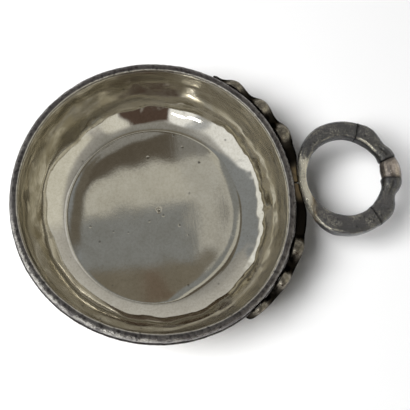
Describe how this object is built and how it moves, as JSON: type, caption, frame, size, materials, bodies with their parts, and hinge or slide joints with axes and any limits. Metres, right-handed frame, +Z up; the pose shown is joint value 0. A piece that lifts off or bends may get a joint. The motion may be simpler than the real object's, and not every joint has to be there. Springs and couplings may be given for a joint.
{
  "type": "tastevin",
  "caption": "Shallow round silver wine-tasting cup with a moulded rim and a level ring handle of serpents whose mouths hold a ball and whose tails wind along the wall.",
  "frame": {"origin": "centre of the flat underside of the bowl, on the surface it rests on", "axes": "+Z up, +X from the middle of the bowl along the ring handle"},
  "size_m": [0.1117, 0.08, 0.025],
  "materials": {
    "bowl_silver": "satin",
    "rim_silver": "satin",
    "ring_silver": "satin",
    "limb_silver": "satin",
    "ball_silver": "satin",
    "tail_silver": "satin"
  },
  "bodies": {
    "root": {"bowl": "bowl_silver", "rim_wire": "rim_silver", "upper_arm": "ring_silver", "wall_limb": "limb_silver", "lower_arm": "ring_silver", "upper_head": "ring_silver", "lower_head": "ring_silver", "ball": "ball_silver", "upper_tail": "tail_silver", "lower_tail": "tail_silver"}
  },
  "joints": []
}
